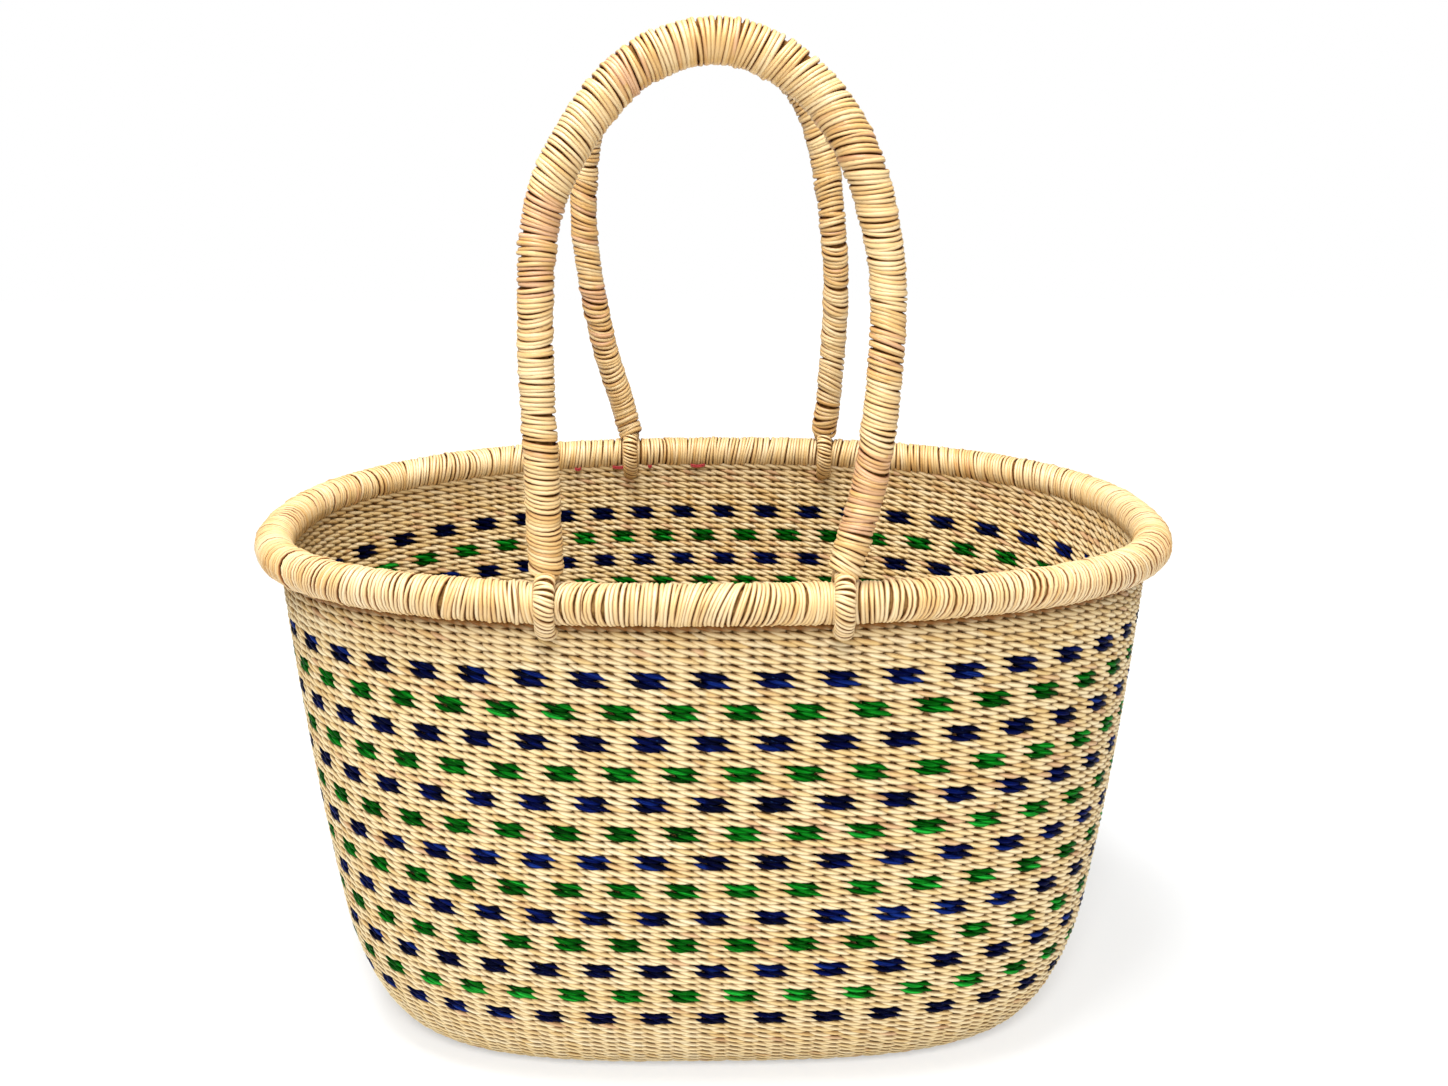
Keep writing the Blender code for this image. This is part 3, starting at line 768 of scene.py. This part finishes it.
shape = (len(centres), tuft_points)
tuft_radii = np.full(shape, tuft_radius)
tufts = strand_mesh("red_ends", np.array(centres), np.broadcast_to((0.0, -1.0, 0.0), (*shape, 3)),
                    np.broadcast_to((0.0, 0.0, 1.0), (*shape, 3)), tuft_radii, tuft_radii,
                    np.full(shape, tuft_tone), np.zeros(shape), closed=False, straws=[red_straw])
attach(tufts, "bowl")


# The handles: each is a bundle bent into an arch and bound from foot to foot, thicker at its top.
# A small bound loop under each foot runs round the rim roll, and the handle swings on the two.
loop_thickness = 0.0064
loop_width = 0.0090
loop_middle_radius = 0.0133
loop_turn_pitch = 0.0018
loop_strip = (0.00102, 0.00085)
loop_core_inset = 0.001
loop_points = 121
loop_seed = 40


def bound_loop(name, body, hinge, up, face, seed):
    """A bound ring round the rim roll, square to the handle's hinge, with its core."""
    low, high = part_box(name)
    centre = np.array((low + high) / 2)
    turn = np.linspace(0, 2 * math.pi, loop_points)[:, None]
    spoke = up * np.cos(turn) + face * np.sin(turn)
    ring = centre + spoke * loop_middle_radius
    axle = np.broadcast_to(hinge, ring.shape)
    turns = round(2 * math.pi * loop_middle_radius / loop_turn_pitch)
    loop = winding(f"{name}_wrap", ring, axle, spoke, np.full(loop_points, loop_width / 2),
                   np.full(loop_points, loop_thickness / 2), turns, loop_strip, seed, closed=True,
                   lean=0.4, loose=0.14, rough=0.0001, stems=(6, 20), slant=(0.3, 0.0))
    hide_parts(name)
    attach(loop, body)
    every_third = slice(None, -1, 3)
    core_widths = np.full(loop_points, loop_width / 2 - loop_core_inset)[every_third]
    core_thicknesses = np.full(loop_points, loop_thickness / 2 - loop_core_inset)[every_third]
    cord = bundle(f"{name}_bundle", ring[every_third], axle[every_third], spoke[every_third],
                  core_widths, core_thicknesses, closed=True)
    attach(cord, body)


def smooth_line(corners, count):
    """Evenly spaced points on a Catmull-Rom curve through the corners, and the curve's length."""
    ends = np.concatenate([[2 * corners[0] - corners[1]], corners, [2 * corners[-1] - corners[-2]]])
    samples = 60
    t = np.linspace(0, 1, samples, endpoint=False)[:, None]
    parts = []
    for a, b, c, d in zip(ends, ends[1:], ends[2:], ends[3:]):
        cubic = (3 * b - a - 3 * c + d) * t ** 3
        parts.append((2 * b + (c - a) * t + (2 * a - 5 * b + 4 * c - d) * t ** 2 + cubic) / 2)
    line = np.concatenate(parts + [corners[-1:]])
    run = np.concatenate([[0.0], np.cumsum(np.linalg.norm(np.diff(line, axis=0), axis=1))])
    places = np.linspace(0, run[-1], count)
    return np.stack([np.interp(places, run, line[:, k]) for k in range(3)], axis=-1), run[-1]


leg_radius = 0.0077
arch_radius = 0.0095
swell_start_share = 0.5
handle_lean = math.radians(5.0)
foot_height = 0.0119
foot_round = 0.003
foot_girth_share = 0.72
handle_points = 401
handle_strip_share = 0.58
handle_strip_half_thickness = 0.00095
handle_core_inset = 0.0013
handle_age = 0.12


def bound_handle(name, side, spread, rise, middle, turn_pitch, seed, slant, blushes, arch_shares):
    """A bound arch with its core, and a bound loop under each foot.

    The side is -1 in front and 1 behind. The arch's shares are of its spread along the rim and of
    its rise over the hinge, and each blush is a reddish stretch of the binding.
    """
    body = f"{name}_handle"
    joint = next(j for j in frame["joints"] if j["child"] == body)
    origin = np.array(joint["pos_m"])
    hinge = unit(np.array(joint["axis"])) * -side
    upright = unit(np.array((0.0, 0.0, 1.0)) - hinge * hinge[2])
    up = np.array(Matrix.Rotation(side * handle_lean, 3, Vector(hinge)) @ Vector(upright))
    face = np.cross(up, hinge)
    corners = np.array([(middle + across * spread - origin[0], 0, height * rise)
                        for across, height in arch_shares])
    corners[0, 2] = corners[-1, 2] = foot_height
    flat_line, length = smooth_line(corners, handle_points)
    line = origin + flat_line[:, :1] * hinge + flat_line[:, 2:] * up
    tangent = unit(np.gradient(line, axis=0))
    normal = np.broadcast_to(face, line.shape)
    inner = np.cross(normal, tangent)
    swell = np.clip((flat_line[:, 2] / rise - swell_start_share) / (1 - swell_start_share), 0, 1)
    radius = leg_radius + (arch_radius - leg_radius) * swell * swell * (3 - 2 * swell)
    run = np.linspace(0, length, handle_points)
    end_gap = np.minimum(run, length - run)
    closing = np.sqrt(1 - (1 - np.clip(end_gap / foot_round, 0, 1)) ** 2)
    girth = radius * (foot_girth_share + (1 - foot_girth_share) * closing)
    strip = (handle_strip_share * turn_pitch, handle_strip_half_thickness)
    wrap = winding(f"{body}_wrap", line, normal, inner, girth, girth, round(length / turn_pitch),
                   strip, seed, slant=(0.0, slant), blushes=blushes, aged=handle_age)
    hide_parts(f"{body}_binding")
    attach(wrap, body)
    core_girth = girth[::4] - handle_core_inset
    core = bundle(f"{body}_bundle", line[::4], normal[::4], inner[::4], core_girth, core_girth,
                  closed=False)
    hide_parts(f"{body}_core")
    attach(core, body)
    for label in ("left", "right"):
        bound_loop(f"{name}_{label}_loop", body, hinge, up, face, loop_seed + seed)


bound_handle("front", side=-1, spread=0.147, rise=0.2317, middle=-0.0027, turn_pitch=0.0019,
             seed=11, slant=0.35, blushes=((0.277, 0.313), (0.42, 0.432), (0.942, 0.963)),
             arch_shares=((-0.488, 0.047), (-0.494, 0.256), (-0.500, 0.490), (-0.475, 0.697),
                          (-0.376, 0.838), (-0.206, 0.957), (0.018, 1.0), (0.229, 0.951),
                          (0.386, 0.838), (0.474, 0.684), (0.500, 0.521), (0.467, 0.265),
                          (0.386, 0.047)))
bound_handle("back", side=1, spread=0.1493, rise=0.2435, middle=-0.0004, turn_pitch=0.0025,
             seed=12, slant=0.0, blushes=((0.155, 0.175),),
             arch_shares=((-0.336, 0.045), (-0.369, 0.136), (-0.433, 0.279), (-0.486, 0.472),
                          (-0.500, 0.616), (-0.476, 0.788), (-0.399, 0.899), (-0.218, 0.977),
                          (0.003, 1.0), (0.204, 0.967), (0.338, 0.899), (0.411, 0.809),
                          (0.458, 0.678), (0.500, 0.452), (0.490, 0.197), (0.468, 0.045)))
